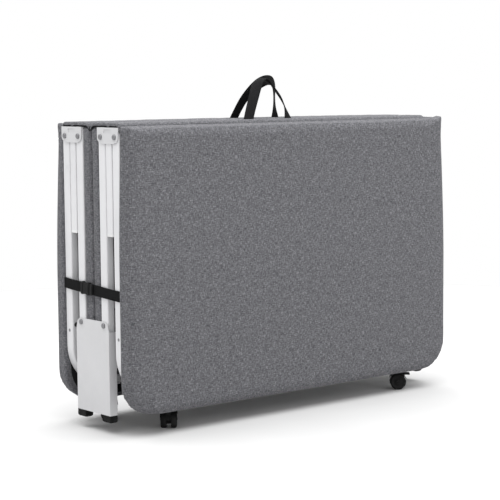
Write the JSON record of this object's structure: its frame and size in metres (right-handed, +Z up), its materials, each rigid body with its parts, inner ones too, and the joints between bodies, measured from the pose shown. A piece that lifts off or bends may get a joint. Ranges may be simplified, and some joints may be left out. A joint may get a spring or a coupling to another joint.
{
  "type": "folding cot",
  "caption": "Padded grey folding cot on a white steel frame, folded upright in zigzag sections, with carrying handles, a closing strap, casters and folding legs.",
  "frame": {"origin": "on the floor, under the middle of the folded cot", "axes": "+X along the bed's width, +Y to the rear sections, +Z up"},
  "size_m": [0.813, 0.228, 0.6493],
  "materials": {
    "white_paint": "satin powder coat",
    "grey_fabric": "heathered woven upholstery",
    "black_webbing": "flat woven webbing",
    "black_plastic": "moulded, fine texture",
    "black_rubber": "matt moulded rubber",
    "white_plastic": "moulded",
    "plywood": "sanded",
    "zinc_steel": "zinc plated",
    "black_steel": "black oxide"
  },
  "bodies": {
    "centre_leg": {"centre_box_left": "white_paint", "centre_box_right": "white_paint", "centre_cross_tube": "white_paint", "centre_feet": "black_rubber", "centre_pivot_bolts": "white_paint"},
    "rear_inner": {"rear_inner_side_tubes": "white_paint", "rear_inner_cross_bars": "white_paint", "rear_inner_board": "plywood", "rear_inner_pad": "grey_fabric"},
    "rear_leg": {"rear_hinge_plates": "white_paint", "rear_leg_tubes": "white_paint", "rear_leg_cross_bars": "white_paint", "rear_leg_feet": "white_plastic", "rear_hinge_bolts": "white_paint", "rear_handle_anchors": "black_webbing"},
    "rear_handle": {"rear_handle": "black_webbing"},
    "rear_outer": {"rear_outer_frame": "white_paint", "rear_outer_cross_bars": "white_paint", "rear_outer_board": "plywood", "rear_outer_board_screws": "black_steel", "rear_outer_pad": "grey_fabric", "rear_caster_sockets": "white_paint", "rear_end_leg_bolts": "white_paint", "rear_strap": "black_webbing", "strap_buckle_socket": "black_plastic"},
    "rear_end_leg": {"rear_end_leg_arms": "white_paint", "rear_end_leg_bar": "white_paint", "rear_end_leg_feet": "white_plastic"},
    "front_inner": {"front_inner_side_tubes": "white_paint", "front_inner_cross_bars": "white_paint", "front_inner_board": "plywood", "front_inner_pad": "grey_fabric"},
    "front_leg": {"front_hinge_plates": "white_paint", "front_leg_tubes": "white_paint", "front_leg_cross_bars": "white_paint", "front_leg_feet": "white_plastic", "front_hinge_bolts": "white_paint", "front_handle_anchors": "black_webbing"},
    "front_handle": {"front_handle": "black_webbing"},
    "front_outer": {"front_outer_frame": "white_paint", "front_outer_cross_bars": "white_paint", "front_outer_board": "plywood", "front_outer_board_screws": "black_steel", "front_outer_pad": "grey_fabric", "front_caster_sockets": "white_paint", "front_end_leg_bolts": "white_paint", "front_strap": "black_webbing", "strap_buckle_tongue": "black_plastic"},
    "front_end_leg": {"front_end_leg_arms": "white_paint", "front_end_leg_bar": "white_paint", "front_end_leg_feet": "white_plastic"},
    "caster_rear_left": {"caster_fork_rear_left": "black_plastic"},
    "wheels_rear_left": {"caster_wheels_rear_left": "black_rubber"},
    "caster_rear_right": {"caster_fork_rear_right": "black_plastic"},
    "wheels_rear_right": {"caster_wheels_rear_right": "black_rubber"},
    "caster_front_left": {"caster_fork_front_left": "black_plastic"},
    "wheels_front_left": {"caster_wheels_front_left": "black_rubber"},
    "caster_front_right": {"caster_fork_front_right": "black_plastic"},
    "wheels_front_right": {"caster_wheels_front_right": "black_rubber"}
  },
  "joints": [
    {"name": "rear_fold", "type": "hinge", "parent": "centre_leg", "child": "rear_inner", "pos_m": [0, 0.036, 0.198], "axis": [-1, 0, 0], "range_deg": [0, 90]},
    {"name": "rear_leg_hinge", "type": "hinge", "parent": "rear_inner", "child": "rear_leg", "pos_m": [0, 0.036, 0.539], "axis": [1, 0, 0], "range_deg": [0, 90]},
    {"name": "rear_outer_hinge", "type": "hinge", "parent": "rear_leg", "child": "rear_outer", "pos_m": [0, 0.079, 0.539], "axis": [1, 0, 0], "range_deg": [0, 90]},
    {"name": "rear_end_leg_hinge", "type": "hinge", "parent": "rear_outer", "child": "rear_end_leg", "pos_m": [0, 0.079, 0.177], "axis": [1, 0, 0], "range_deg": [0, 90]},
    {"name": "rear_handle_swing", "type": "hinge", "parent": "rear_leg", "child": "rear_handle", "pos_m": [0, 0.0575, 0.559], "axis": [-1, 0, 0], "range_deg": [0, 31.5]},
    {"name": "front_fold", "type": "hinge", "parent": "centre_leg", "child": "front_inner", "pos_m": [0, -0.036, 0.198], "axis": [1, 0, 0], "range_deg": [0, 90]},
    {"name": "front_leg_hinge", "type": "hinge", "parent": "front_inner", "child": "front_leg", "pos_m": [0, -0.036, 0.539], "axis": [-1, 0, 0], "range_deg": [0, 90]},
    {"name": "front_outer_hinge", "type": "hinge", "parent": "front_leg", "child": "front_outer", "pos_m": [0, -0.079, 0.539], "axis": [-1, 0, 0], "range_deg": [0, 90]},
    {"name": "front_end_leg_hinge", "type": "hinge", "parent": "front_outer", "child": "front_end_leg", "pos_m": [0, -0.079, 0.177], "axis": [-1, 0, 0], "range_deg": [0, 90]},
    {"name": "front_handle_swing", "type": "hinge", "parent": "front_leg", "child": "front_handle", "pos_m": [0, -0.0575, 0.559], "axis": [1, 0, 0], "range_deg": [0, 31.5]},
    {"name": "swivel_rear_left", "type": "hinge", "parent": "rear_outer", "child": "caster_rear_left", "pos_m": [-0.313, 0.079, 0.05], "axis": [0, 0, 1], "continuous": true},
    {"name": "roll_rear_left", "type": "hinge", "parent": "caster_rear_left", "child": "wheels_rear_left", "pos_m": [-0.31878, 0.07211, 0.0165], "axis": [0.766, -0.6428, 0], "continuous": true},
    {"name": "swivel_rear_right", "type": "hinge", "parent": "rear_outer", "child": "caster_rear_right", "pos_m": [0.313, 0.079, 0.05], "axis": [0, 0, 1], "continuous": true},
    {"name": "roll_rear_right", "type": "hinge", "parent": "caster_rear_right", "child": "wheels_rear_right", "pos_m": [0.31878, 0.08589, 0.0165], "axis": [-0.766, 0.6428, 0], "continuous": true},
    {"name": "swivel_front_left", "type": "hinge", "parent": "front_outer", "child": "caster_front_left", "pos_m": [-0.291, -0.079, 0.05], "axis": [0, 0, 1], "continuous": true},
    {"name": "roll_front_left", "type": "hinge", "parent": "caster_front_left", "child": "wheels_front_left", "pos_m": [-0.28521, -0.07211, 0.0165], "axis": [-0.766, 0.6428, 0], "continuous": true},
    {"name": "swivel_front_right", "type": "hinge", "parent": "front_outer", "child": "caster_front_right", "pos_m": [0.291, -0.079, 0.05], "axis": [0, 0, 1], "continuous": true},
    {"name": "roll_front_right", "type": "hinge", "parent": "caster_front_right", "child": "wheels_front_right", "pos_m": [0.29789, -0.08478, 0.0165], "axis": [0.6428, 0.766, 0], "continuous": true}
  ],
  "couplings": [
    {"joint": "rear_leg_hinge", "follows": "rear_fold", "ratio": 1},
    {"joint": "rear_outer_hinge", "follows": "rear_fold", "ratio": 1},
    {"joint": "rear_end_leg_hinge", "follows": "rear_fold", "ratio": 1},
    {"joint": "rear_handle_swing", "follows": "rear_fold", "ratio": 0.35},
    {"joint": "front_leg_hinge", "follows": "front_fold", "ratio": 1},
    {"joint": "front_outer_hinge", "follows": "front_fold", "ratio": 1},
    {"joint": "front_end_leg_hinge", "follows": "front_fold", "ratio": 1},
    {"joint": "front_handle_swing", "follows": "front_fold", "ratio": 0.35}
  ]
}
